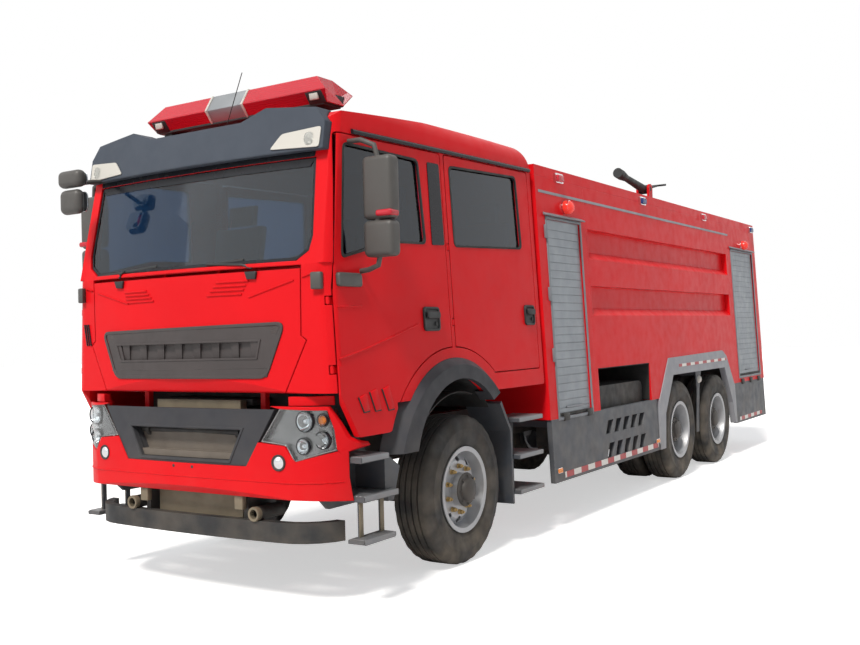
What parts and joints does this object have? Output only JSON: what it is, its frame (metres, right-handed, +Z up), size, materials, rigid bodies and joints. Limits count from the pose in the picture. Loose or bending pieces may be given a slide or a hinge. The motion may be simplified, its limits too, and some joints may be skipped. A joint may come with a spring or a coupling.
{
  "type": "foam fire truck",
  "caption": "Three-axle foam fire truck with a four-door tilting crew cab, opening front lid, tank body with roller shutters, twin rear wheels and a swivelling roof monitor.",
  "frame": {"origin": "on the ground at the middle of the truck's overall box", "axes": "+Z is up, -Y is the way the truck drives, +X is the truck's left side, where the driver sits"},
  "size_m": [2.9, 9.977, 3.7723],
  "materials": {
    "red_paint": "gloss",
    "dark_grey": "satin",
    "light_grey": "satin",
    "chassis_black": "satin",
    "black_plastic": "matte",
    "silver": "brushed",
    "wheel_silver": "satin",
    "tyre": "matte",
    "glass": "gloss",
    "lamp_clear": "gloss",
    "lamp_red": "gloss",
    "cooler_beige": "matte",
    "trim_inside": "matte",
    "grille_brown": "satin"
  },
  "bodies": {
    "chassis": {"frame_rails": "chassis_black", "front_axle": "chassis_black", "rear_axles": "chassis_black", "leaf_springs": "chassis_black", "powertrain": "chassis_black", "side_tanks": "silver", "cooler": "cooler_beige", "front_bumper": "red_paint", "headlamps": "lamp_clear", "lower_grille": "dark_grey", "front_underrun": "black_plastic", "front_mudguards": "black_plastic", "entry_steps": "dark_grey", "crew_steps": "dark_grey", "front_locker": "red_paint", "tank": "red_paint", "pump_room": "red_paint", "roof_deck": "red_paint", "side_skirts": "dark_grey", "arch_trims": "light_grey", "shutters": "silver", "rear_access": "silver", "body_lamps": "lamp_red"},
    "cab": {"cab_shell": "red_paint", "windscreen": "glass", "visor": "dark_grey", "light_bar": "lamp_red", "wheel_flares": "dark_grey", "cab_interior": "trim_inside"},
    "lid": {"front_lid": "red_paint", "upper_grille": "grille_brown"},
    "door_front_left": {"door_front_left": "red_paint", "glass_front_left": "glass", "mirror_left": "dark_grey"},
    "door_front_right": {"door_front_right": "red_paint", "glass_front_right": "glass", "mirror_right": "dark_grey"},
    "door_rear_left": {"door_rear_left": "red_paint", "glass_rear_left": "glass"},
    "door_rear_right": {"door_rear_right": "red_paint", "glass_rear_right": "glass"},
    "knuckle_left": {"knuckle_left": "chassis_black"},
    "knuckle_right": {"knuckle_right": "chassis_black"},
    "track_rod": {"track_rod": "chassis_black"},
    "wheel_front_left": {"tyre_front_left": "tyre", "rim_front_left": "wheel_silver"},
    "wheel_front_right": {"tyre_front_right": "tyre", "rim_front_right": "wheel_silver"},
    "wheels_mid_left": {"tyres_mid_left": "tyre", "rims_mid_left": "wheel_silver"},
    "wheels_mid_right": {"tyres_mid_right": "tyre", "rims_mid_right": "wheel_silver"},
    "wheels_rear_left": {"tyres_rear_left": "tyre", "rims_rear_left": "wheel_silver"},
    "wheels_rear_right": {"tyres_rear_right": "tyre", "rims_rear_right": "wheel_silver"},
    "monitor_swivel": {"monitor_base": "red_paint"},
    "monitor_barrel": {"monitor_barrel": "black_plastic"},
    "hatch": {"tank_hatch": "silver"}
  },
  "joints": [
    {"name": "cab_tilt", "type": "hinge", "parent": "chassis", "child": "cab", "pos_m": [0, -4.8815, 1.085], "axis": [1, 0, 0], "range_deg": [0, 40]},
    {"name": "lid_lift", "type": "hinge", "parent": "cab", "child": "lid", "pos_m": [0, -4.9165, 2.086], "axis": [-1, 0, 0], "range_deg": [0, 65]},
    {"name": "door_front_left_swing", "type": "hinge", "parent": "cab", "child": "door_front_left", "pos_m": [1.13669, -4.8485, 1.7], "axis": [0.0484, 0, -0.9988], "range_deg": [0, 70]},
    {"name": "door_rear_left_swing", "type": "hinge", "parent": "cab", "child": "door_rear_left", "pos_m": [1.16469, -3.4745, 1.7], "axis": [0.0484, 0, -0.9988], "range_deg": [0, 70]},
    {"name": "door_front_right_swing", "type": "hinge", "parent": "cab", "child": "door_front_right", "pos_m": [-1.13669, -4.8485, 1.7], "axis": [0.0484, 0, 0.9988], "range_deg": [0, 70]},
    {"name": "door_rear_right_swing", "type": "hinge", "parent": "cab", "child": "door_rear_right", "pos_m": [-1.16469, -3.4745, 1.7], "axis": [0.0484, 0, 0.9988], "range_deg": [0, 70]},
    {"name": "steer_left", "type": "hinge", "parent": "chassis", "child": "knuckle_left", "pos_m": [0.85, -3.3365, 0.541], "axis": [0, 0, 1], "range_deg": [-35, 35]},
    {"name": "steer_right", "type": "hinge", "parent": "chassis", "child": "knuckle_right", "pos_m": [-0.85, -3.3365, 0.541], "axis": [0, 0, 1], "range_deg": [-35, 35]},
    {"name": "track_rod_pin", "type": "hinge", "parent": "knuckle_left", "child": "track_rod", "pos_m": [0.85, -3.1565, 0.392], "axis": [0, 0, 1], "range_deg": [-35, 35]},
    {"name": "spin_front_left", "type": "hinge", "parent": "knuckle_left", "child": "wheel_front_left", "pos_m": [1.015, -3.3365, 0.541], "axis": [1, 0, 0], "continuous": true},
    {"name": "spin_front_right", "type": "hinge", "parent": "knuckle_right", "child": "wheel_front_right", "pos_m": [-1.015, -3.3365, 0.541], "axis": [1, 0, 0], "continuous": true},
    {"name": "spin_mid_left", "type": "hinge", "parent": "chassis", "child": "wheels_mid_left", "pos_m": [0.9025, 1.2635, 0.541], "axis": [1, 0, 0], "continuous": true},
    {"name": "spin_mid_right", "type": "hinge", "parent": "chassis", "child": "wheels_mid_right", "pos_m": [-0.9025, 1.2635, 0.541], "axis": [1, 0, 0], "continuous": true},
    {"name": "spin_rear_left", "type": "hinge", "parent": "chassis", "child": "wheels_rear_left", "pos_m": [0.9025, 2.6635, 0.541], "axis": [1, 0, 0], "continuous": true},
    {"name": "spin_rear_right", "type": "hinge", "parent": "chassis", "child": "wheels_rear_right", "pos_m": [-0.9025, 2.6635, 0.541], "axis": [1, 0, 0], "continuous": true},
    {"name": "monitor_turn", "type": "hinge", "parent": "chassis", "child": "monitor_swivel", "pos_m": [0, 3.6235, 3.06], "axis": [0, 0, 1], "continuous": true},
    {"name": "monitor_lift", "type": "hinge", "parent": "monitor_swivel", "child": "monitor_barrel", "pos_m": [0, 3.6235, 3.59], "axis": [-1, 0, 0], "range_deg": [-22, 63]},
    {"name": "hatch_lift", "type": "hinge", "parent": "chassis", "child": "hatch", "pos_m": [0, 0.2915, 3.102], "axis": [-1, 0, 0], "range_deg": [0, 95]}
  ],
  "couplings": [
    {"joint": "steer_right", "follows": "steer_left", "ratio": 1},
    {"joint": "track_rod_pin", "follows": "steer_left", "ratio": -1}
  ]
}
